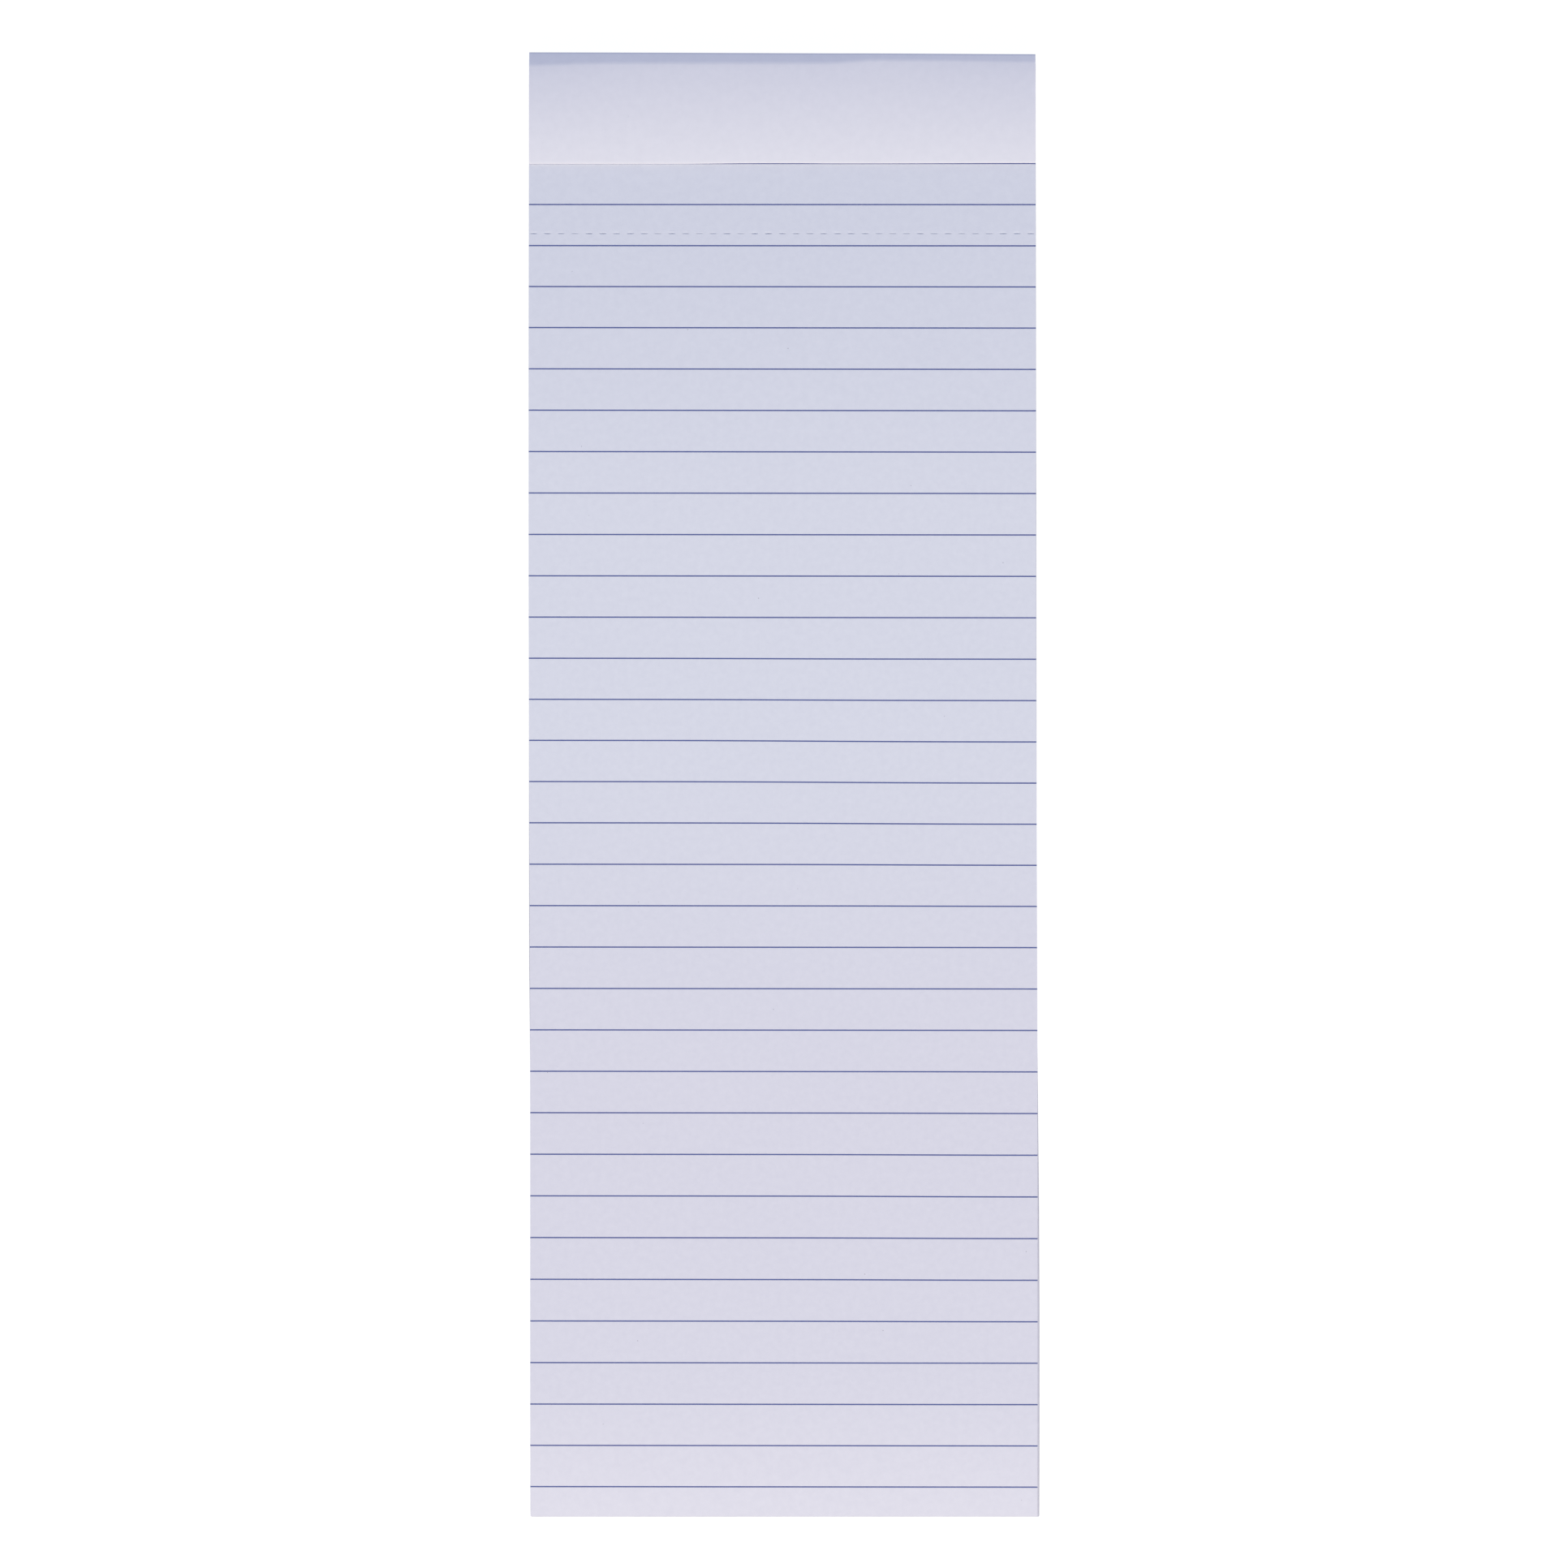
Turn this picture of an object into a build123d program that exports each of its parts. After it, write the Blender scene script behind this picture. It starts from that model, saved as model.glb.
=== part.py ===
"""Head-bound list pad with perforated leaves, a greyboard back, a card cover and two wire staples.

The pad lies face up, with its cover folded at the crease and turned over the head to the back.
X runs across the pad, Y towards the head and Z up from the surface that the pad lies on.
Depths are measured down the pad from the head of the leaves.
"""

from build123d import *

import os
from math import cos, radians, sin, tan

# Sheets: all are trimmed together, so they share the pad's width
pad_width = 98.0
leaf_length = 281.0
leaf_count = 80
leaf_pressed = 0.0725
board_thickness = 0.8
card_thickness = 0.2

# Face of the pad: pressed flat under the staples, swelling below them, drooping at the foot
pressed_depth = 11.0
pressed_bend_run = 1.0
rise_angle = 3.0
swell_depth = 57.5
swell_bend_run = 27.0
droop_angle = 4.0
droop_from_foot = 13.0
droop_bend_run = 12.5

# Tear-off line, a row of slits through every leaf
perforation_depth = 33.0
slit_length = 1.4
slit_width = 0.18
slit_pitch = 2.67
slit_edge_margin = 0.15

# Cover: turned in at the back, creased below the staples, then looped over the head
turn_in_depth = 25.0
crease_depth = 19.3
crease_gap = 0.05
crease_flat = 0.03
crease_over_radius = 0.06
crease_slope_angle = 8.0
crease_slope_radius = 8.0
band_rise_angle = 4.0
band_fall_angle = 5.6
head_bend_depth = 0.6
head_bend_radius = 4.5
facet_angle = 20.0
shoulder_radius = 0.45
loop_reach = 2.15
loop_corner_radius = 2.2

# Staples of flat wire
wire_width = 0.7
wire_thickness = 0.45
wire_clearance = 0.1
staple_depth = 9.5
staple_spacing = 50.0
staple_crown = 12.0
clinch_length = 4.0

# Ends of the leaves, with the whole pad centred on the origin
head = (leaf_length - loop_reach) / 2
foot = head - leaf_length

# Levels, from the surface upwards
clinch_level = card_thickness + wire_thickness / 2
turn_in_bottom = card_thickness + wire_thickness
board_bottom = turn_in_bottom + card_thickness
leaves_bottom = board_bottom + board_thickness
pressed_top = leaves_bottom + leaf_count * leaf_pressed
crown_level = pressed_top + card_thickness + wire_thickness / 2

# Corners of the pad's face in side view, before they are rounded
rise = tan(radians(rise_angle))
swell_top = pressed_top + (swell_depth - pressed_depth) * rise
foot_top = swell_top - droop_from_foot * tan(radians(droop_angle))
head_corner = (head, pressed_top)
pressed_corner = (head - pressed_depth, pressed_top)
swell_corner = (head - swell_depth, swell_top)
droop_corner = (foot + droop_from_foot, swell_top)
foot_corner = (foot, foot_top)


def bend_radius(run, turn):
    """Radius of a bend that starts this run away from its corner, for a turn in degrees."""
    return run / tan(radians(turn) / 2)


pressed_bend = bend_radius(pressed_bend_run, rise_angle)
swell_bend = bend_radius(swell_bend_run, rise_angle)
droop_bend = bend_radius(droop_bend_run, droop_angle)

# Holes that the staple legs pierce, drawn once and cut through all that they pass
leg_length = crown_level - clinch_level
with BuildSketch(Plane.XY.offset(clinch_level)) as leg_holes:
    with Locations((0, head - staple_depth)):
        with GridLocations(staple_spacing, 0, 2, 1):
            with GridLocations(staple_crown, 0, 2, 1):
                Rectangle(wire_thickness + 2 * wire_clearance, wire_width + 2 * wire_clearance)

# Leaves, one block with the tear-off line through it
slit_count = int((pad_width - slit_length - 2 * slit_edge_margin) / slit_pitch) + 1
with BuildPart() as leaves:
    with BuildSketch(Plane.YZ):
        with BuildLine():
            FilletPolyline(
                head_corner,
                pressed_corner,
                swell_corner,
                droop_corner,
                foot_corner,
                radius=[pressed_bend, swell_bend, droop_bend],
            )
            Polyline(foot_corner, (foot, leaves_bottom), (head, leaves_bottom), head_corner)
        make_face()
    extrude(amount=pad_width / 2, both=True)
    with BuildSketch(Plane.XY.offset(leaves_bottom)):
        with Locations((0, head - perforation_depth)):
            with GridLocations(slit_pitch, 0, slit_count, 1):
                Rectangle(slit_length, slit_width)
    extrude(amount=swell_top - leaves_bottom, mode=Mode.SUBTRACT)
    extrude(leg_holes.sketch, amount=leg_length, mode=Mode.SUBTRACT)

# Backing board, a flat sheet under the leaves
with BuildPart() as backing_board:
    with BuildSketch(Plane.XY.offset(board_bottom)):
        with Locations((0, (head + foot) / 2)):
            Rectangle(pad_width, leaf_length)
    extrude(amount=board_thickness)
    extrude(leg_holes.sketch, amount=leg_length, mode=Mode.SUBTRACT)

# Cover, one card: a single line follows its inner face from the turned-in edge to the free edge
under_radius = 2 * card_thickness + crease_gap - crease_flat - crease_over_radius
under_start_depth = crease_depth - under_radius * (1 - sin(radians(rise_angle)))
under_start = (head - under_start_depth, pressed_top + (under_start_depth - pressed_depth) * rise)
shoulder_advance = shoulder_radius * (1 - sin(radians(facet_angle)))
free_length = leaf_length - crease_depth
with BuildPart() as cover:
    with BuildSketch(Plane.YZ):
        with BuildLine():
            wrap = FilletPolyline(
                (head - turn_in_depth, board_bottom),
                (head, board_bottom),
                head_corner,
                pressed_corner,
                under_start,
                radius=[0, 0, pressed_bend],
            )
            under = JernArc(wrap @ 1, wrap % 1, under_radius, rise_angle - 90)
            crease = PolarLine(under @ 1, crease_flat, 90)
            over = JernArc(crease @ 1, crease % 1, crease_over_radius, crease_slope_angle - 90)
            slope = JernArc(over @ 1, over % 1, crease_slope_radius, band_rise_angle - crease_slope_angle)
            band_run = head - head_bend_depth - (slope @ 1).X
            band_radius = band_run / (sin(radians(band_rise_angle)) + sin(radians(band_fall_angle)))
            band = JernArc(slope @ 1, slope % 1, band_radius, -band_rise_angle - band_fall_angle)
            head_bend = JernArc(band @ 1, band % 1, head_bend_radius, band_fall_angle - facet_angle)
            facet_run = head + loop_reach - shoulder_advance - (head_bend @ 1).X
            facet = PolarLine(head_bend @ 1, facet_run / cos(radians(facet_angle)), -facet_angle)
            shoulder = JernArc(facet @ 1, facet % 1, shoulder_radius, facet_angle - 90)
            drop = Line(shoulder @ 1, (head + loop_reach, loop_corner_radius))
            corner = JernArc(drop @ 1, drop % 1, loop_corner_radius, -90)
            looped = [over, slope, band, head_bend, facet, shoulder, drop, corner]
            looped_length = crease.length / 2 + sum(stretch.length for stretch in looped)
            panel_end = (corner @ 1).X - (free_length - looped_length)
            Line(corner @ 1, (panel_end, 0))
            offset(amount=card_thickness, side=Side.RIGHT)
        make_face()
    extrude(amount=pad_width / 2, both=True)
    extrude(leg_holes.sketch, amount=leg_length, mode=Mode.SUBTRACT)

# Staples: the crown lies on the cover strip, the legs are clinched inwards under the turn-in
# Each bend is as tight as the holes ask, so that it clears their rims
staple_bend = wire_thickness / 2 + wire_clearance
staple_centre = (staple_spacing / 2, head - staple_depth, 0)
staple_plane = Plane(staple_centre, x_dir=(1, 0, 0), z_dir=(0, -1, 0))
with BuildPart() as staples:
    with BuildSketch(staple_plane):
        with BuildLine():
            FilletPolyline(
                (clinch_length - staple_crown / 2, clinch_level),
                (-staple_crown / 2, clinch_level),
                (-staple_crown / 2, crown_level),
                (staple_crown / 2, crown_level),
                (staple_crown / 2, clinch_level),
                (staple_crown / 2 - clinch_length, clinch_level),
                radius=staple_bend,
            )
            offset(amount=wire_thickness / 2, side=Side.BOTH)
        make_face()
    extrude(amount=wire_width / 2, both=True)
    mirror(about=Plane.YZ)

# One STEP file for each piece
os.makedirs("parts", exist_ok=True)
leaves.part.label = "leaves"
backing_board.part.label = "backing_board"
cover.part.label = "cover"
staples.part.label = "staples"
export_step(leaves.part, "parts/leaves.step")
export_step(backing_board.part, "parts/backing_board.step")
export_step(cover.part, "parts/cover.step")
export_step(staples.part, "parts/staples.step")
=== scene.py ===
import math
import random

import bpy
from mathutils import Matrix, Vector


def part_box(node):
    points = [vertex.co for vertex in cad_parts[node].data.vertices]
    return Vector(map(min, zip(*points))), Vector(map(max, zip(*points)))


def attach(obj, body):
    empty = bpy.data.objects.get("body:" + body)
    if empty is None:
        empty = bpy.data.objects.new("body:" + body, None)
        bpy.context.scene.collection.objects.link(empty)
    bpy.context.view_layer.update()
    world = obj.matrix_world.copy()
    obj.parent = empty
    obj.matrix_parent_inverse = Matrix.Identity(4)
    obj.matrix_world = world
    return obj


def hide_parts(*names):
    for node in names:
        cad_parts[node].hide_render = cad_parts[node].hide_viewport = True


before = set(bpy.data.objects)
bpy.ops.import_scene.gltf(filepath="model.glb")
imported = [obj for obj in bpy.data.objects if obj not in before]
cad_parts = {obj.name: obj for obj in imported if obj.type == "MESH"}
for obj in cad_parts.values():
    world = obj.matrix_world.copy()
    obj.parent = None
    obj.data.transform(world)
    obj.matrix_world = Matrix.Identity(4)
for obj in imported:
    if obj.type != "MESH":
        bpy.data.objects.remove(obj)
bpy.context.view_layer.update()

# Backing board: a sheet of recycled greyboard that stiffens the pad from behind.
# It is cut with the leaves on one guillotine, so its edges are bare and show the pressed fibres.
mm = 0.001
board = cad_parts["backing_board"]


def new_group(name, inputs, outputs):
    """A shader node group with plain number sockets, and its two end nodes."""
    group = bpy.data.node_groups.new(name, "ShaderNodeTree")
    for label, value in inputs.items():
        socket = group.interface.new_socket(label, in_out="INPUT", socket_type="NodeSocketFloat")
        socket.default_value = value
    for label in outputs:
        group.interface.new_socket(label, in_out="OUTPUT", socket_type="NodeSocketFloat")
    return group, group.nodes.new("NodeGroupInput"), group.nodes.new("NodeGroupOutput")


def add_node(tree, kind, **settings):
    """A node of this kind, with its properties or the values of its input sockets set."""
    node = tree.nodes.new(kind)
    for key, value in settings.items():
        if hasattr(node, key):
            setattr(node, key, value)
        else:
            node.inputs[key.replace("_", " ")].default_value = value
    return node


def math_node(tree, operation, first, second):
    """A math node whose two inputs are sockets or plain numbers."""
    node = add_node(tree, "ShaderNodeMath", operation=operation)
    for socket, value in zip(node.inputs, (first, second)):
        if isinstance(value, (int, float)):
            socket.default_value = value
        else:
            tree.links.new(value, socket)
    return node.outputs[0]


def make_pulp_group():
    """Fibre pulp: cloudy unevenness, fine felted fibres, and the odd fleck left in the pulp."""
    usual_pulp = {
        "Cloud Scale": 800.0,
        "Fibre Scale": 5000.0,
        "Fleck Scale": 120.0,
        "Fleck Size": 0.03,
        "Fleck Share": 0.05,
    }
    fleck_rim = 0.6
    group, given, out = new_group("pulp", usual_pulp, ("Clouds", "Fibres", "Flecks"))
    place = add_node(group, "ShaderNodeTexCoord").outputs["Object"]
    clouds = add_node(group, "ShaderNodeTexNoise", Detail=3.0, Roughness=0.55)
    fibres = add_node(group, "ShaderNodeTexNoise", Detail=2.0, Roughness=0.7, Distortion=1.2)
    flecks = add_node(group, "ShaderNodeTexVoronoi")
    for texture, scale in ((clouds, "Cloud Scale"), (fibres, "Fibre Scale"), (flecks, "Fleck Scale")):
        group.links.new(place, texture.inputs["Vector"])
        group.links.new(given.outputs[scale], texture.inputs["Scale"])
    away = math_node(group, "DIVIDE", flecks.outputs["Distance"], given.outputs["Fleck Size"])
    near = math_node(group, "SUBTRACT", 1.0, away)
    soft = add_node(group, "ShaderNodeMapRange", interpolation_type="SMOOTHSTEP", From_Max=fleck_rim)
    group.links.new(near, soft.inputs["Value"])
    draw = add_node(group, "ShaderNodeSeparateColor")
    group.links.new(flecks.outputs["Color"], draw.inputs["Color"])
    chosen = math_node(group, "LESS_THAN", draw.outputs["Red"], given.outputs["Fleck Share"])
    mask = math_node(group, "MULTIPLY", soft.outputs["Result"], chosen)
    group.links.new(clouds.outputs["Fac"], out.inputs["Clouds"])
    group.links.new(fibres.outputs["Fac"], out.inputs["Fibres"])
    group.links.new(mask, out.inputs["Flecks"])
    return group


pulp = make_pulp_group()
cloud_low, cloud_high = 0.3, 0.7
roughness_play = 0.06


def pulp_material(name, thin, dense, fleck, fleck_strength, roughness, specular, bump, **scales):
    """A sheet pressed from pulp: colour, roughness and bump all follow the same fibres."""
    material = bpy.data.materials.new(name)
    material.use_nodes = True
    tree = material.node_tree
    shader = tree.nodes["Principled BSDF"]
    shader.inputs["Specular IOR Level"].default_value = specular
    stock = add_node(tree, "ShaderNodeGroup", node_tree=pulp)
    for label, value in scales.items():
        stock.inputs[label.replace("_", " ")].default_value = value
    spread = add_node(tree, "ShaderNodeMapRange", From_Min=cloud_low, From_Max=cloud_high)
    tree.links.new(stock.outputs["Clouds"], spread.inputs["Value"])
    body = add_node(tree, "ShaderNodeMix", data_type="RGBA")
    body.inputs["A"].default_value = (*thin, 1)
    body.inputs["B"].default_value = (*dense, 1)
    tree.links.new(spread.outputs["Result"], body.inputs["Factor"])
    fleck_mask = math_node(tree, "MULTIPLY", stock.outputs["Flecks"], fleck_strength)
    flecked = add_node(tree, "ShaderNodeMix", data_type="RGBA")
    flecked.inputs["B"].default_value = (*fleck, 1)
    tree.links.new(fleck_mask, flecked.inputs["Factor"])
    tree.links.new(body.outputs["Result"], flecked.inputs["A"])
    tree.links.new(flecked.outputs["Result"], shader.inputs["Base Color"])
    rough = add_node(tree, "ShaderNodeMapRange")
    rough.inputs["To Min"].default_value = roughness - roughness_play
    rough.inputs["To Max"].default_value = roughness + roughness_play
    tree.links.new(stock.outputs["Fibres"], rough.inputs["Value"])
    tree.links.new(rough.outputs["Result"], shader.inputs["Roughness"])
    relief = add_node(tree, "ShaderNodeBump", Strength=1.0, Distance=bump)
    tree.links.new(stock.outputs["Fibres"], relief.inputs["Height"])
    tree.links.new(relief.outputs["Normal"], shader.inputs["Normal"])
    return material


greyboard = pulp_material(
    "greyboard",
    thin=(0.30, 0.285, 0.26),
    dense=(0.22, 0.205, 0.185),
    fleck=(0.07, 0.06, 0.055),
    fleck_strength=0.6,
    roughness=0.88,
    specular=0.2,
    bump=0.03 * mm,
    Cloud_Scale=450.0,
    Fibre_Scale=2600.0,
    Fleck_Scale=420.0,
    Fleck_Size=0.16,
    Fleck_Share=0.6,
)
board.material_slots[0].material = greyboard

# Leaves: eighty loose sheets of white writing paper, pressed together at the head by the staples.
# Below the staples a little air lets them swell, and they slip sideways on each other near the foot.
# Places on them are given by x across the pad and by the depth below the head.
block_low, block_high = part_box("leaves")
head, foot = block_high.y, block_low.y
leaf_length = head - foot
half_width = (block_high.x - block_low.x) / 2
leaf_count = 80
paper_thickness = 0.069 * mm
pressed_depth, pressed_run = 11.0 * mm, 1.0 * mm
swell_depth, swell_run = 57.5 * mm, 27.0 * mm
droop_depth, droop_run = leaf_length - 13.0 * mm, 12.5 * mm
rise_angle, droop_angle = 3.0, 4.0
rise_slope = math.tan(math.radians(rise_angle))
droop_slope = math.tan(math.radians(droop_angle))
fold_press, fold_depth, fold_fade, fold_start = 0.045 * mm, 19.3 * mm, 0.5 * mm, 12 * mm
pressed_height = block_high.z - block_low.z - (swell_depth - pressed_depth) * rise_slope
tear_depth = 33.0 * mm
slit_length, slit_width, slit_pitch, slit_count = 1.4 * mm, 0.18 * mm, 2.67 * mm, 37


def eased(value, start, end):
    """0 before start, 1 after end and a smooth step between."""
    t = min(max((value - start) / (end - start), 0), 1)
    return t * t * (3 - 2 * t)


def bent(depth, corner, run, slope):
    """Height gained past a corner where the slope changes, eased over a run to each side of it."""
    along = min(max(depth - corner + run, 0), 2 * run)
    return slope * (along * along / (4 * run) + max(depth - corner - run, 0))


def face_height(depth):
    """Height of the pad's face over the board: it swells, droops at the foot and dips at the cover's fold."""
    rise = bent(depth, pressed_depth, pressed_run, rise_slope)
    rise += bent(depth, swell_depth, swell_run, -rise_slope)
    rise += bent(depth, droop_depth, droop_run, -droop_slope)
    past_fold = max(depth - fold_depth, 0)
    dip = fold_press * eased(depth, fold_start, fold_depth) * math.exp(-past_fold / fold_fade)
    return pressed_height + rise - dip


def new_piece(name, points, faces, material, smooth_angle=None):
    """A mesh object made of these points and faces; edges under the smooth angle are shaded round."""
    mesh = bpy.data.meshes.new(name)
    mesh.from_pydata(points, [], faces)
    mesh.materials.append(material)
    piece = bpy.data.objects.new(name, mesh)
    bpy.context.collection.objects.link(piece)
    if smooth_angle is not None:
        mesh.polygons.foreach_set("use_smooth", [True] * len(mesh.polygons))
        mesh.set_sharp_from_angle(angle=math.radians(smooth_angle))
    return piece


paper = pulp_material(
    "writing_paper",
    thin=(0.725, 0.736, 0.803),
    dense=(0.697, 0.708, 0.779),
    fleck=(0.32, 0.31, 0.36),
    fleck_strength=0.7,
    roughness=0.86,
    specular=0.2,
    bump=0.004 * mm,
    Cloud_Scale=800.0,
    Fibre_Scale=5200.0,
    Fleck_Scale=170.0,
    Fleck_Size=0.023,
    Fleck_Share=0.9,
)

# Painted light and shade in the paper: its bluish white turns warmer down the sheet, painted warm light of
# the lamp at the foot; some leaves are greyer, painted shade in the gaps between leaves; cut edges are
# cooler, painted shade that offsets the warm lamp on them
warm_light_start, warm_light_end = 20 * mm, -65 * mm
painted_warm_light, gap_shade_tint, cut_edge_cool_shade = (0.998, 0.969, 0.977), (0.66, 0.66, 0.7), (0.92, 0.96, 1.0)


def tint_paper(mask, colour):
    """Multiplies the paper's colour by another one where the mask is 1."""
    tree = paper.node_tree
    base = tree.nodes["Principled BSDF"].inputs["Base Color"]
    tinted = add_node(tree, "ShaderNodeMix", data_type="RGBA", blend_type="MULTIPLY")
    tinted.inputs["B"].default_value = (*colour, 1)
    tree.links.new(mask, tinted.inputs["Factor"])
    tree.links.new(base.links[0].from_socket, tinted.inputs["A"])
    tree.links.new(tinted.outputs["Result"], base)


def painted_warm_light_mask():
    """A mask that fades in down the sheet, for the painted warm light of the foot lamp."""
    tree = paper.node_tree
    place = add_node(tree, "ShaderNodeSeparateXYZ")
    tree.links.new(add_node(tree, "ShaderNodeTexCoord").outputs["Object"], place.inputs["Vector"])
    fade = add_node(tree, "ShaderNodeMapRange", interpolation_type="SMOOTHSTEP")
    fade.inputs["From Min"].default_value = warm_light_start
    fade.inputs["From Max"].default_value = warm_light_end
    tree.links.new(place.outputs["Y"], fade.inputs["Value"])
    return fade.outputs["Result"]


leaf_gap_shade = add_node(paper.node_tree, "ShaderNodeAttribute", attribute_name="leaf_gap_shade")
cut_edge = add_node(paper.node_tree, "ShaderNodeAttribute", attribute_name="cut_edge")
# Painted warm light: the paper warms down the sheet as if lit more by the warm lamp at the foot
tint_paper(painted_warm_light_mask(), painted_warm_light)
# Painted shade between the leaves: some leaves are greyer along their cut edges
tint_paper(leaf_gap_shade.outputs["Fac"], gap_shade_tint)
# Painted shade on the cut edges: a cooler colour that offsets the warm lamp's light
tint_paper(cut_edge.outputs["Fac"], cut_edge_cool_shade)
flat_limit = 0.5


def lies_flat(face):
    """Whether a face belongs to one side of a sheet, not to its cut edge."""
    return abs(face.normal.z) > flat_limit


def mark_cut_edges(piece):
    """Marks the upright faces of a paper piece, its cut edges, which get a cooler painted shade against the
    warm lamp's light.
    """
    marks = [float(not lies_flat(face)) for face in piece.data.polygons]
    piece.data.attributes.new("cut_edge", "FLOAT", "FACE").data.foreach_set("value", marks)


def slit_centres():
    """Middles of the tear-off slits across the leaf."""
    return [(i - (slit_count - 1) / 2) * slit_pitch for i in range(slit_count)]


# Depths of a lower leaf's rows of points in mm, close together where it bends
rows_above_tear = [0, 5, 10, 10.5, 11, 11.5, 12, 14, 16, 18, 19.3, 19.6, 20, 20.6, 21.6, 26, 31]
rows_below_tear = [35, 44, 53, 62, 71, 80, 86, 150, 175, 200, 222, 240, 255, 259, 263, 267, 271, 275, 278]
first_slip, first_slip_start, first_slip_end = 0.1 * mm, 60 * mm, 130 * mm
slip_start, slip_end = 160 * mm, 240 * mm


def loose_leaf(points, faces, share, dx, dy, turn, slip, tear):
    """Adds one lower leaf, a thin closed sheet with its slits, to the lists of points and faces."""

    def put(x, depth):
        """Adds a point to the top of the leaf and one to its underside, and returns their number."""
        slipped = first_slip * eased(depth, first_slip_start, first_slip_end)
        slipped += slip * eased(depth, slip_start, slip_end)
        place = (x + dx + turn * depth + slipped, head - depth + dy * depth / leaf_length)
        z = block_low.z + share * face_height(depth)
        points.append((*place, z))
        points.append((*place, z - paper_thickness))
        return len(points) - 2

    def put_pair(depth):
        """Adds the points at the two ends of a row."""
        return put(-half_width, depth), put(half_width, depth)

    upper = [put_pair(row * mm) for row in rows_above_tear]
    left, right = put_pair(tear)
    lower = [put_pair(row * mm) for row in rows_below_tear] + [put_pair(leaf_length)]
    upper_tear, lower_tear, rims = [left], [left], []
    for centre in slit_centres():
        start, end = put(centre - slit_length / 2, tear), put(centre + slit_length / 2, tear)
        above, below = put(centre, tear - slit_width / 2), put(centre, tear + slit_width / 2)
        upper_tear += [start, above, end]
        lower_tear += [start, below, end]
        rims += [(start, above), (above, end), (end, below), (below, start)]
    upper_tear.append(right)
    lower_tear.append(right)
    outlines = [[a[0], b[0], b[1], a[1]] for a, b in zip(upper, upper[1:])]
    outlines.append([upper[-1][0], *upper_tear, upper[-1][1]])
    outlines.append([*lower_tear[::-1], lower[0][0], lower[0][1]])
    outlines += [[a[0], b[0], b[1], a[1]] for a, b in zip(lower, lower[1:])]
    for outline in outlines:
        faces.append(outline)
        faces.append([n + 1 for n in reversed(outline)])
    left_edge = [a[0] for a in upper] + [left] + [a[0] for a in lower]
    right_edge = [a[1] for a in upper] + [right] + [a[1] for a in lower]
    rims += list(zip(left_edge, left_edge[1:])) + [(b, a) for a, b in zip(right_edge, right_edge[1:])]
    rims += [(upper[0][1], upper[0][0]), (lower[-1][0], lower[-1][1])]
    faces += [[b, a, a + 1, b + 1] for a, b in rims]


# Play of the loose leaves: those next to the top leaf cling to it, and the lowest are held by the board
side_play, length_play, turn_play = 0.02 * mm, 0.05 * mm, 0.00005
least_tear_miss, most_tear_miss = 0.12 * mm, 0.22 * mm
slip_reach, cling, cling_leaves, held_leaves = 0.59 * mm, 0.6, 2, 45
# How rarely a leaf gets much of the painted shade between the leaves
gap_shade_rarity = 2

dice = random.Random(7)
stack_points, stack_faces = [], []
for number in range(1, leaf_count):
    freedom = (1 - cling * math.exp((number - leaf_count) / cling_leaves)) * eased(number, 0, held_leaves)
    loose_leaf(
        stack_points,
        stack_faces,
        share=number / leaf_count,
        dx=dice.gauss(0, side_play),
        dy=dice.gauss(0, length_play),
        turn=dice.gauss(0, turn_play),
        slip=slip_reach * freedom,
        tear=tear_depth + dice.choice((-1, 1)) * dice.uniform(least_tear_miss, most_tear_miss),
    )
page_stack = new_piece("page_stack", stack_points, stack_faces, paper)
faces_per_leaf = len(stack_faces) // (leaf_count - 1)
# Painted shade in the gaps between leaves: each leaf gets its own darkness
leaf_gap_shades = [dice.random() ** gap_shade_rarity for _ in range(1, leaf_count)]
stack_gap_shades = page_stack.data.attributes.new("leaf_gap_shade", "FLOAT", "FACE")
stack_gap_shades.data.foreach_set("value", [tone for tone in leaf_gap_shades for _ in range(faces_per_leaf)])
mark_cut_edges(page_stack)

# Baking map of the stack: each leaf has a band of it, and most of the band goes to the leaf's cut edges
left_row, right_row, ends_row, edge_tall = 0.02, 0.26, 0.5, 0.2
slit_row, slit_tall = 0.74, 0.06
upper_row, upper_tall = 0.83, 0.07
under_row, under_tall = 0.93, 0.06


def place_on_map(face, points):
    """Where the corners of a leaf's face lie on the leaf's band of the baking map."""
    along = [(head - y) / leaf_length for _, y, _ in points]
    across = [(x + half_width) / (2 * half_width) for x, _, _ in points]
    level = [float(corner % 2 == 0) for corner in face.vertices]
    if lies_flat(face):
        row, tall = (upper_row, upper_tall) if face.normal.z > 0 else (under_row, under_tall)
        return [(u, row + tall * v) for u, v in zip(along, across)]
    if abs(face.normal.x) > abs(face.normal.y):
        row = right_row if face.normal.x > 0 else left_row
        return [(u, row + edge_tall * v) for u, v in zip(along, level)]
    if round(along[0], 2) in (0, 1):
        half = round(along[0]) / 2
        return [(half + u / 2, ends_row + edge_tall * v) for u, v in zip(across, level)]
    return [(u, slit_row + slit_tall * v) for u, v in zip(across, level)]


stack_map = []
for face in page_stack.data.polygons:
    band = face.index // faces_per_leaf
    face_points = [stack_points[corner] for corner in face.vertices]
    for u, v in place_on_map(face, face_points):
        stack_map += [u, (band + v) / (leaf_count - 1)]
page_stack.data.uv_layers.new(name="OFBake").uv.foreach_set("vector", stack_map)
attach(page_stack, "root")
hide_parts("leaves")

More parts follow.
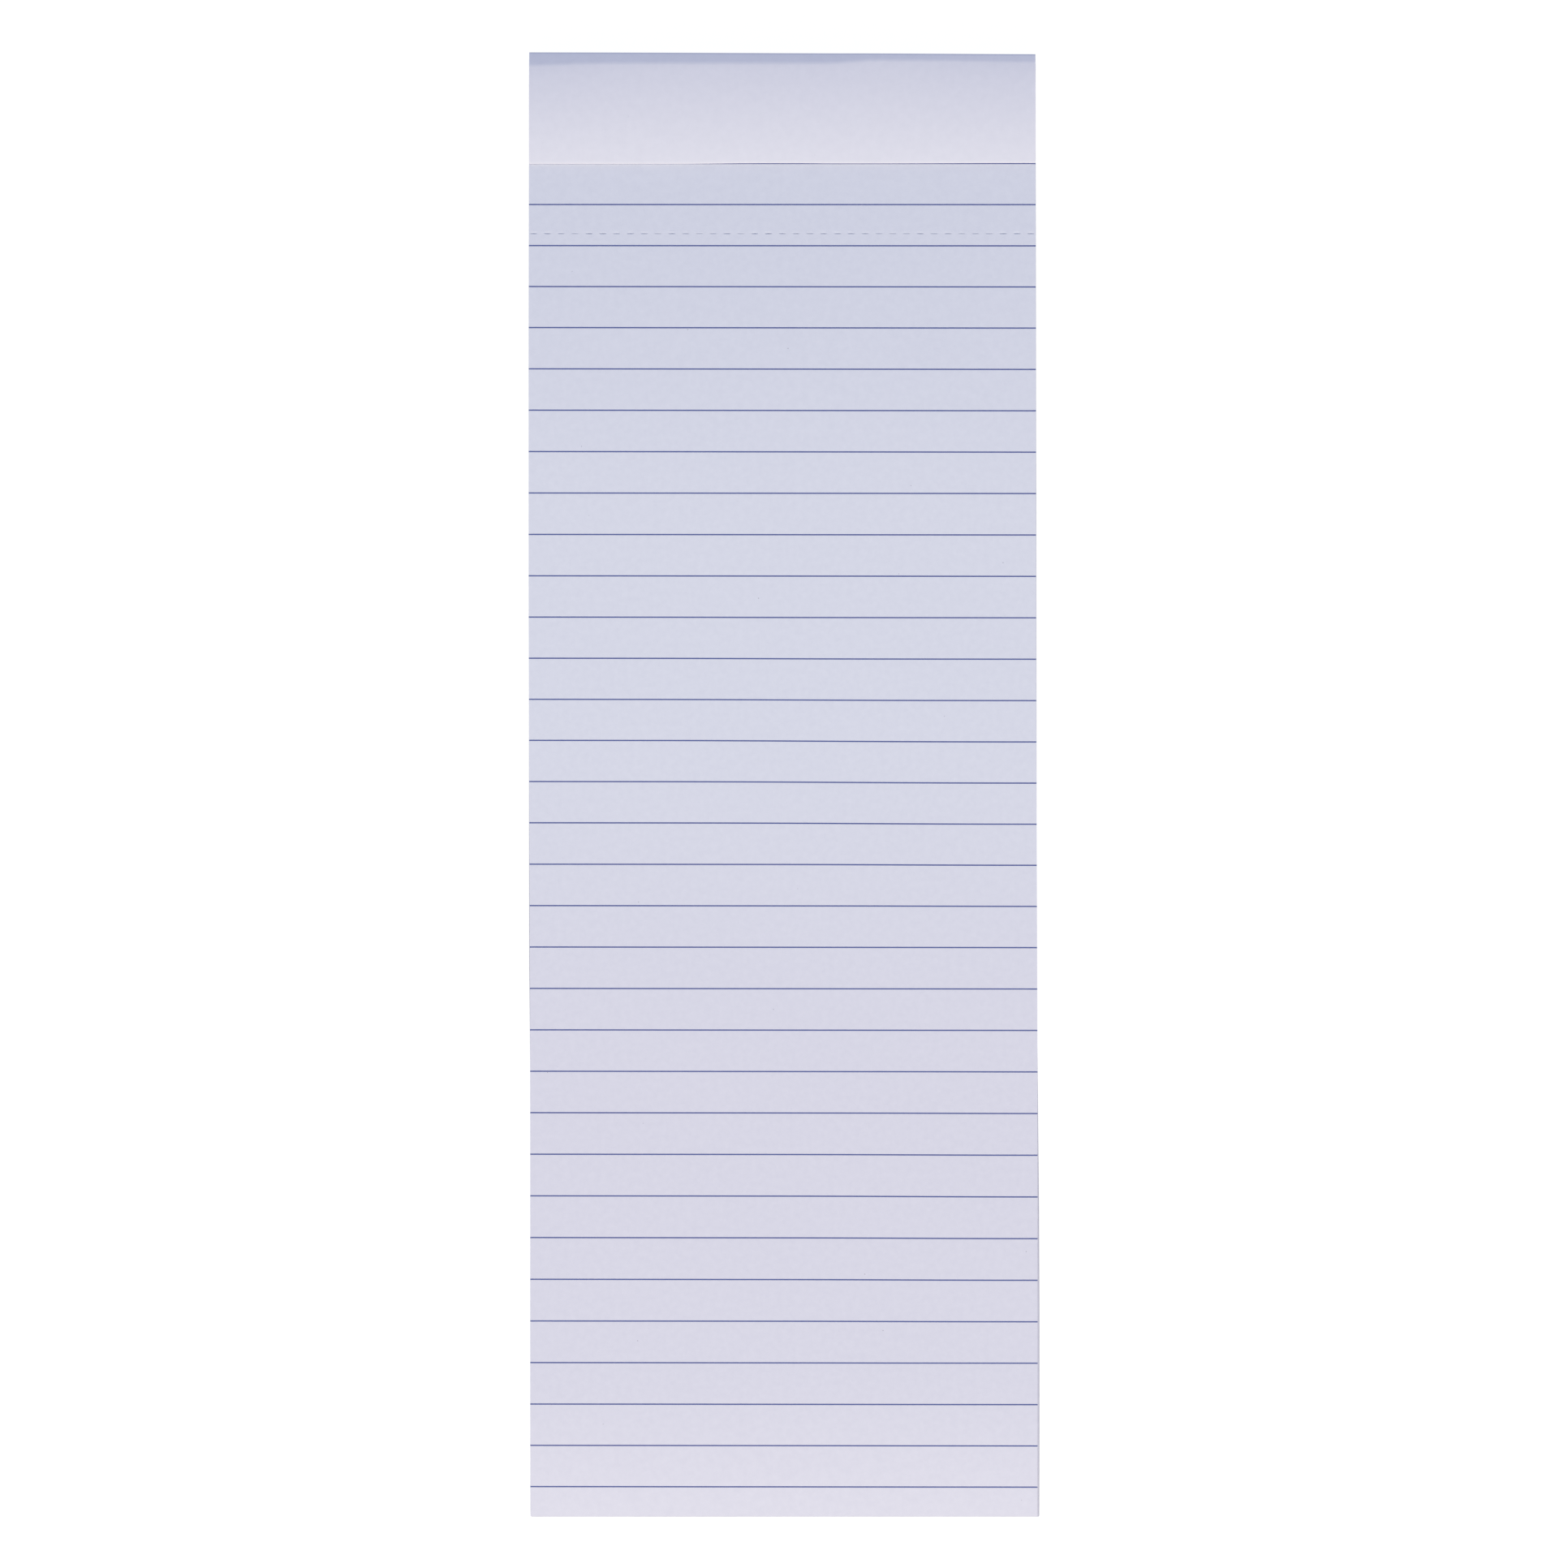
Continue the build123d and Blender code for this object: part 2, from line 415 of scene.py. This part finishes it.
# Top leaf: the sheet of the same paper that is written on, with the tear-off slits pressed through it.
# The knife bends the paper down on the head side of each slit, which leaves a bright lip and a dark gap.
lip_run, lip_dip = 0.3 * mm, 0.03 * mm
top_slip, top_slip_start, top_slip_end = 0.31 * mm, 90 * mm, 215 * mm
cockle_depth, cockle_start, cockle_full = 0.012 * mm, 25 * mm, 70 * mm
cockle_waves = ((170, 60, 0.0), (-90, 130, 1.3), (0, 47, 0.4))
rounded_angle = 40


def cockle(x, depth):
    """Slight waviness of the free paper, none where the staples press it."""
    waves = sum(math.sin(across * x + down * depth + start) for across, down, start in cockle_waves)
    return cockle_depth * eased(depth, cockle_start, cockle_full) * waves


def leaf_place(x, depth, lift=0.0):
    """A point on the written face of the top leaf."""
    slip = top_slip * eased(depth, top_slip_start, top_slip_end)
    return (x + slip, head - depth, block_low.z + face_height(depth) + cockle(x, depth) + lift)


# Columns of points across the leaf, and how far the tear-off line gapes at each: no two slits are cut alike
slit_profile = ((-0.5, 0), (-0.35, 0.85), (0, 1), (0.35, 0.85), (0.5, 0))
least_open, most_open = 0.55, 1.15
columns = [-half_width]
openness = [0.0]
for centre in slit_centres():
    cut = dice.uniform(least_open, most_open)
    for step, share in slit_profile:
        columns.append(centre + step * slit_length)
        openness.append(share * cut)
columns.append(half_width)
openness.append(0.0)

# Rows of points down the leaf, closer at the fold and beside the tear-off line
row_step = 3.0 * mm
fold_rows = [fold_depth + share * fold_fade for share in (0, 0.4, 0.8, 1.4, 2.2, 4.6)]
free_rows = sorted([n * row_step for n in range(int(leaf_length / row_step) + 1)] + fold_rows)
lip_clearance = 3 * lip_run
above_rows = [row for row in free_rows if row < tear_depth - lip_clearance]
above_rows += [tear_depth - 2 * lip_run, tear_depth - lip_run]
below_rows = [tear_depth + lip_run]
below_rows += [row for row in free_rows if row > tear_depth + lip_clearance]
if leaf_length - below_rows[-1] < row_step / 3:
    below_rows.pop()
below_rows.append(leaf_length)


def tear_row(side, drop, lift):
    """Points along one side of the tear-off line: side is -1 towards the head and 1 towards the foot."""
    return [
        leaf_place(x, tear_depth + side * share * slit_width / 2, drop * share + lift)
        for x, share in zip(columns, openness)
    ]


def top_leaf_sheet(lift):
    """Rows of points over one face of the top leaf, in two halves that meet along the tear-off line."""
    upper = [[leaf_place(x, row, lift) for x in columns] for row in above_rows]
    lower = [[leaf_place(x, row, lift) for x in columns] for row in below_rows]
    return [*upper, tear_row(-1, -lip_dip, lift), tear_row(1, 0.0, lift), *lower]


leaf_sheets = (top_leaf_sheet(0.0), top_leaf_sheet(-paper_thickness))
row_total, column_total, tear_index = len(leaf_sheets[0]), len(columns), len(above_rows)
leaf_points, leaf_faces, leaf_corners = [], [], {}


def corner(row, column, under):
    """The number of a point on the written face or the underside; between slits the two halves share it."""
    if row == tear_index + 1 and not openness[column]:
        row = tear_index
    if (row, column, under) not in leaf_corners:
        leaf_corners[row, column, under] = len(leaf_points)
        leaf_points.append(leaf_sheets[under][row][column])
    return leaf_corners[row, column, under]


def rim(start, end):
    """Closes the paper's edge between two neighbours on the outline of its written face."""
    leaf_faces.append([corner(*end, 0), corner(*start, 0), corner(*start, 1), corner(*end, 1)])


for row in range(row_total - 1):
    if row == tear_index:
        continue
    for column in range(column_total - 1):
        cell = [(row, column), (row + 1, column), (row + 1, column + 1), (row, column + 1)]
        leaf_faces.append([corner(*place, 0) for place in cell])
        leaf_faces.append([corner(*place, 1) for place in reversed(cell)])
    rim((row, 0), (row + 1, 0))
    rim((row + 1, column_total - 1), (row, column_total - 1))
for column in range(column_total - 1):
    rim((0, column + 1), (0, column))
    rim((row_total - 1, column), (row_total - 1, column + 1))
    if openness[column] or openness[column + 1]:
        rim((tear_index, column), (tear_index, column + 1))
        rim((tear_index + 1, column + 1), (tear_index + 1, column))
top_leaf = new_piece("top_leaf", leaf_points, leaf_faces, paper, rounded_angle)
mark_cut_edges(top_leaf)
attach(top_leaf, "root")
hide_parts("leaves")

# Ruling: thin offset-printed lines in blue-violet ink, from edge to edge of the leaf.
# The printing sits a hair out of square with the cut sheet, and wanders a little down its length.
first_line, line_pitch, line_width = 3.27 * mm, 8.0 * mm, 0.245 * mm
ink_film = 0.012 * mm
full_ink, thin_ink = (0.088, 0.116, 0.302), (0.128, 0.152, 0.342)
ruling_skew, skew_start, skew_end = 0.0012, 15 * mm, 60 * mm
ruling_drift, drift_start, drift_end = 0.29 * mm, 98 * mm, 150 * mm
drift_lag, lag_start, lag_end = 26 * mm, -25 * mm, 45 * mm
drift_fade, drift_gone, fade_lag = 187 * mm, 245 * mm, 14 * mm
head_drift, head_drift_fade, head_drift_gone = 0.085 * mm, 36 * mm, 51 * mm
line_columns = 33


def make_ink():
    """Printing ink soaked into the paper: it thins and thickens a little along each line."""
    material = bpy.data.materials.new("ruling_ink")
    material.use_nodes = True
    tree = material.node_tree
    shader = tree.nodes["Principled BSDF"]
    shader.inputs["Specular IOR Level"].default_value = 0.25
    stock = add_node(tree, "ShaderNodeGroup", node_tree=pulp)
    stock.inputs["Cloud Scale"].default_value = 1500.0
    tone = add_node(tree, "ShaderNodeMix", data_type="RGBA")
    tone.inputs["A"].default_value = (*full_ink, 1)
    tone.inputs["B"].default_value = (*thin_ink, 1)
    tree.links.new(stock.outputs["Clouds"], tone.inputs["Factor"])
    tree.links.new(tone.outputs["Result"], shader.inputs["Base Color"])
    rough = add_node(tree, "ShaderNodeMapRange", To_Min=0.6, To_Max=0.8)
    tree.links.new(stock.outputs["Fibres"], rough.inputs["Value"])
    tree.links.new(rough.outputs["Result"], shader.inputs["Roughness"])
    return material


def printed_depth(x, depth):
    """Where a line that is due at this depth was printed, at one place across the leaf."""
    lag = drift_lag * eased(x, lag_start, lag_end)
    hold = fade_lag * (1 - eased(x, 0, lag_end))
    drift = eased(depth, drift_start + lag, drift_end + lag)
    drift -= eased(depth, drift_fade + hold, drift_gone + hold)
    skew = ruling_skew * x * eased(depth, skew_start, skew_end)
    head_shift = head_drift * (1 - eased(depth, head_drift_fade, head_drift_gone))
    return depth + skew - ruling_drift * drift + head_shift


ruling_points, ruling_faces = [], []
line_count = int((leaf_length - first_line) / line_pitch) + 1
for number in range(line_count):
    base = len(ruling_points)
    for column in range(line_columns):
        x = half_width * (2 * column / (line_columns - 1) - 1)
        middle = printed_depth(x, first_line + number * line_pitch)
        for edge, lift in ((-1, ink_film), (1, ink_film), (1, -ink_film), (-1, -ink_film)):
            ruling_points.append(leaf_place(x, middle + edge * line_width / 2, lift))
    for column in range(line_columns - 1):
        first = base + 4 * column
        for side in range(4):
            following = (side + 1) % 4
            ruling_faces.append([first + side, first + following, first + 4 + following, first + 4 + side])
    ruling_faces.append([base, base + 3, base + 2, base + 1])
    last = base + 4 * (line_columns - 1)
    ruling_faces.append([last, last + 1, last + 2, last + 3])
ruling = new_piece("ruling", ruling_points, ruling_faces, make_ink())
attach(ruling, "root")

# Cover: one sheet of white card, wrapped round the head and stitched, then scored across below the staples.
# Here it is folded back at the score and carried over the head, so its plain inside faces up.
# Its crease and the bend at the head are not quite straight; all angles are in degrees.
card_low, card_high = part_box("cover")
board_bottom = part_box("backing_board")[0].z
card_thickness = 0.2 * mm
turn_in, wrap_radius = 25.0 * mm, 0.02 * mm
crease_depth, crease_step, step_start, step_end = 19.465 * mm, 0.135 * mm, -22 * mm, -4 * mm
crease_waver, waver_start, waver_end = 0.045 * mm, 3 * mm, 10 * mm
crease_tilt, tilt_start, tilt_end = 0.08 * mm, 18 * mm, 46 * mm
crease_rise, under_radius, over_radius, pinched_share = 0.03 * mm, 0.36 * mm, 0.06 * mm, 0.25
crease_slope_angle, crease_slope_radius = 8.0, 8.0 * mm
band_rise, band_fall, facet_angle = 4.0, 5.6, 19.6
facet_ease, ease_start, ease_end = 2.4, 10 * mm, 45 * mm
curl, corner_curl, curl_radius, curl_start = 0.6, 1.8, 60 * mm, 20 * mm
head_bend_depth, head_bend_radius = 0.42 * mm, 4.2 * mm
bend_shift, shift_start, shift_end = 0.62 * mm, 9 * mm, 18 * mm
bend_return, return_start, return_end = 0.2 * mm, 30 * mm, 49 * mm
bend_flare, flare_start = 0.29 * mm, 36 * mm
shoulder_radius, corner_radius = 0.45 * mm, 2.2 * mm
loop_slack, loop_skew = 0.06 * mm, 0.0043
loop_reach = card_high.y - head - loop_slack
card_columns = 49


def card_line(x):
    """The card in side view at one place across the pad: points on its inside and those behind them."""
    crease = crease_depth - crease_step * eased(x, step_start, step_end)
    crease += crease_waver * eased(x, waver_start, waver_end)
    crease -= crease_tilt * eased(x, tilt_start, tilt_end)
    facet = facet_angle - facet_ease * eased(x, ease_start, ease_end)
    towards_corner = max(eased(-x, curl_start, half_width), eased(x, ease_start, ease_end))
    fall = band_fall + curl + corner_curl * towards_corner
    bend_depth = head_bend_depth - bend_shift * eased(x, shift_start, shift_end)
    bend_depth += bend_return * eased(x, return_start, return_end)
    bend_depth += bend_flare * eased(-x, flare_start, half_width)
    here = [head - turn_in, board_bottom]
    heading = 0.0
    line = []

    def mark(behind=None):
        """Notes a place on the card's inside, and the place behind it on the outside."""
        right = math.radians(heading - 90)
        across = (here[0] + card_thickness * math.cos(right), here[1] + card_thickness * math.sin(right))
        line.append((*here, *(behind or across)))

    def run(length, steps, behind=None):
        """A flat stretch of card."""
        for _ in range(steps):
            here[0] += length / steps * math.cos(math.radians(heading))
            here[1] += length / steps * math.sin(math.radians(heading))
            mark(behind)

    def bend(radius, turn, steps, behind=None):
        """A rounded fold: a turn to the left is positive."""
        nonlocal heading
        for _ in range(steps):
            chord = 2 * radius * math.sin(math.radians(abs(turn)) / steps / 2)
            heading += turn / steps / 2
            here[0] += chord * math.cos(math.radians(heading))
            here[1] += chord * math.sin(math.radians(heading))
            heading += turn / steps / 2
            mark(behind)

    # Turned in under the board, up the head and under the staples to the crease
    mark()
    run(turn_in - wrap_radius, steps=6)
    bend(wrap_radius, 90, steps=4)
    run(block_low.z - board_bottom + pressed_height - 2 * wrap_radius, steps=3)
    bend(wrap_radius, 90, steps=4)
    run(pressed_depth - pressed_run - wrap_radius, steps=4)
    bend(pressed_run / math.tan(math.radians(rise_angle / 2)), -rise_angle, steps=4)
    under_start = crease - under_radius * (1 - math.sin(math.radians(rise_angle)))
    run((under_start - pressed_depth - pressed_run) / math.cos(math.radians(rise_angle)), steps=3)

    # Round the crease, where the outside is pinched to one point
    under_turn, slope_turn = rise_angle - 90, band_rise - crease_slope_angle
    bend(under_radius, (1 - pinched_share) * under_turn, steps=6)
    pinch = line[-1][2:]
    bend(under_radius, pinched_share * under_turn, steps=2, behind=pinch)
    run(crease_rise, steps=1, behind=pinch)
    bend(over_radius, crease_slope_angle - 90, steps=6, behind=pinch)
    bend(crease_slope_radius, pinched_share * slope_turn, steps=1, behind=pinch)
    bend(crease_slope_radius, (1 - pinched_share) * slope_turn, steps=3)

    # Along the arched band, over the bend and the sloping strip at the head
    curl_run = curl_radius * (math.sin(math.radians(fall)) - math.sin(math.radians(band_fall)))
    band_run = head - bend_depth - curl_run - here[0]
    band_radius = band_run / (math.sin(math.radians(band_rise)) + math.sin(math.radians(band_fall)))
    bend(band_radius, -band_rise - band_fall, steps=24)
    bend(curl_radius, band_fall - fall, steps=4)
    bend(head_bend_radius, fall - facet, steps=8)
    strip_end = head + loop_reach - loop_skew * x - shoulder_radius * (1 - math.sin(math.radians(facet)))
    run((strip_end - here[0]) / math.cos(math.radians(facet)), steps=3)

    # Round the loop and along the panel under the pad
    bend(shoulder_radius, facet - 90, steps=10)
    run(here[1] - corner_radius, steps=4)
    bend(corner_radius, -90, steps=10)
    run(here[0] - card_low.y, steps=24)
    return line


card_points, card_faces, card_numbers = [], [], {}


def card_point(*place):
    """The number of a point of the card; where several meet inside the crease, they are one."""
    if place not in card_numbers:
        card_numbers[place] = len(card_points)
        card_points.append(place)
    return card_numbers[place]


def card_face(*corners):
    """Adds a face without its repeated corners, or none where they leave only an edge."""
    outline = list(dict.fromkeys(corners))
    if len(outline) > 2:
        card_faces.append(outline)


inside, outside = [], []
for column in range(card_columns):
    x = half_width * (2 * column / (card_columns - 1) - 1)
    section = card_line(x)
    inside.append([card_point(x, y, z) for y, z, _, _ in section])
    outside.append([card_point(x, y, z) for _, _, y, z in section])
for (a, b), (c, d) in zip(zip(inside, inside[1:]), zip(outside, outside[1:])):
    for n in range(len(a) - 1):
        card_face(a[n], b[n], b[n + 1], a[n + 1])
        card_face(c[n], c[n + 1], d[n + 1], d[n])
    card_face(a[0], c[0], d[0], b[0])
    card_face(a[-1], b[-1], d[-1], c[-1])
for n in range(len(inside[0]) - 1):
    card_face(inside[0][n], inside[0][n + 1], outside[0][n + 1], outside[0][n])
    card_face(inside[-1][n], outside[-1][n], outside[-1][n + 1], inside[-1][n + 1])
card = pulp_material(
    "cover_card",
    thin=(0.761, 0.754, 0.812),
    dense=(0.737, 0.731, 0.791),
    fleck=(0.55, 0.54, 0.62),
    fleck_strength=0.3,
    roughness=0.76,
    specular=0.12,
    bump=0.003 * mm,
    Cloud_Scale=600.0,
    Fibre_Scale=4200.0,
    Fleck_Scale=160.0,
    Fleck_Size=0.028,
    Fleck_Share=0.5,
)
cover = new_piece("folded_cover", card_points, card_faces, card, rounded_angle)
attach(cover, "root")
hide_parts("cover")

# Staples: two bends of zinc-coated steel wire, driven through cover, leaves and board at the head.
# Their crowns lie on the cover strip under the band, and their legs are clinched flat at the back.
bright_zinc, dull_zinc = (0.62, 0.63, 0.64), (0.48, 0.49, 0.5)
streak_scale = (400.0, 9000.0, 3000.0)


def make_wire():
    """Drawn wire: bright zinc with fine dull streaks."""
    material = bpy.data.materials.new("stitching_wire")
    material.use_nodes = True
    tree = material.node_tree
    shader = tree.nodes["Principled BSDF"]
    shader.inputs["Metallic"].default_value = 1.0
    place = add_node(tree, "ShaderNodeTexCoord")
    stretch = add_node(tree, "ShaderNodeMapping", Scale=streak_scale)
    tree.links.new(place.outputs["Object"], stretch.inputs["Vector"])
    streaks = add_node(tree, "ShaderNodeTexNoise", Scale=1.0, Detail=3.0)
    tree.links.new(stretch.outputs["Vector"], streaks.inputs["Vector"])
    tone = add_node(tree, "ShaderNodeMix", data_type="RGBA")
    tone.inputs["A"].default_value = (*bright_zinc, 1)
    tone.inputs["B"].default_value = (*dull_zinc, 1)
    tree.links.new(streaks.outputs["Fac"], tone.inputs["Factor"])
    tree.links.new(tone.outputs["Result"], shader.inputs["Base Color"])
    rough = add_node(tree, "ShaderNodeMapRange", To_Min=0.22, To_Max=0.45)
    tree.links.new(streaks.outputs["Fac"], rough.inputs["Value"])
    tree.links.new(rough.outputs["Result"], shader.inputs["Roughness"])
    return material


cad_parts["staples"].material_slots[0].material = make_wire()

# Studio: a white light table in a room of even bluish light, with one large warm lamp beyond the pad's foot.
# The camera looks straight down from well above, with the pad upright in the picture.
table_reach = 6.0
table_glow, table_bounce, table_white = 0.94, 0.25, 0.14
room_tint = (0.475, 0.533, 0.715)
lamp_distance, lamp_height_angle, lamp_side = 4.0, 25.0, 2.4
lamp_power, lamp_tint = 197.0, (1.0, 0.885, 0.618)
camera_height = 1.2
picture_width = 302.9 * mm
picture_centre = (0.33 * mm, 0.0)

table = new_piece(
    "light_table",
    [(x * table_reach, y * table_reach, 0) for x, y in ((-1, -1), (1, -1), (1, 1), (-1, 1))],
    [[0, 1, 2, 3]],
    bpy.data.materials.new("white_table"),
)
table.data.materials[0].use_nodes = True
table_tree = table.data.materials[0].node_tree
table_shader = table_tree.nodes["Principled BSDF"]
table_shader.inputs["Base Color"].default_value = (table_white, table_white, table_white, 1)
table_shader.inputs["Roughness"].default_value = 0.9
table_shader.inputs["Specular IOR Level"].default_value = 0.0
table_shader.inputs["Emission Color"].default_value = (1, 1, 1, 1)
table_seen = add_node(table_tree, "ShaderNodeLightPath")
table_glows = add_node(table_tree, "ShaderNodeMapRange", To_Min=table_bounce, To_Max=table_glow)
table_tree.links.new(table_seen.outputs["Is Camera Ray"], table_glows.inputs["Value"])
table_tree.links.new(table_glows.outputs["Result"], table_shader.inputs["Emission Strength"])

scene = bpy.context.scene
scene.view_settings.view_transform = "Standard"
room = bpy.data.worlds.new("bluish_room")
room.use_nodes = True
sky = room.node_tree.nodes["Background"]
room_seen = add_node(room.node_tree, "ShaderNodeLightPath")
shade = add_node(room.node_tree, "ShaderNodeMix", data_type="RGBA")
shade.inputs["A"].default_value = (*room_tint, 1)
shade.inputs["B"].default_value = (1, 1, 1, 1)
room.node_tree.links.new(room_seen.outputs["Is Camera Ray"], shade.inputs["Factor"])
room.node_tree.links.new(shade.outputs["Result"], sky.inputs["Color"])
scene.world = room

lamp_data = bpy.data.lights.new("foot_lamp", "AREA")
lamp_data.shape = "SQUARE"
lamp_data.size = lamp_side
lamp_data.energy = lamp_power
lamp_data.color = lamp_tint
lamp = bpy.data.objects.new("foot_lamp", lamp_data)
tilt = math.radians(lamp_height_angle)
lamp.location = (0, -lamp_distance * math.cos(tilt), lamp_distance * math.sin(tilt))
lamp.rotation_euler = (math.radians(90) - tilt, 0, 0)
scene.collection.objects.link(lamp)

camera_data = bpy.data.cameras.new("camera")
camera_data.lens = camera_data.sensor_width * camera_height / picture_width
camera = bpy.data.objects.new("camera", camera_data)
camera.location = (*picture_centre, block_high.z + camera_height)
scene.collection.objects.link(camera)
scene.camera = camera
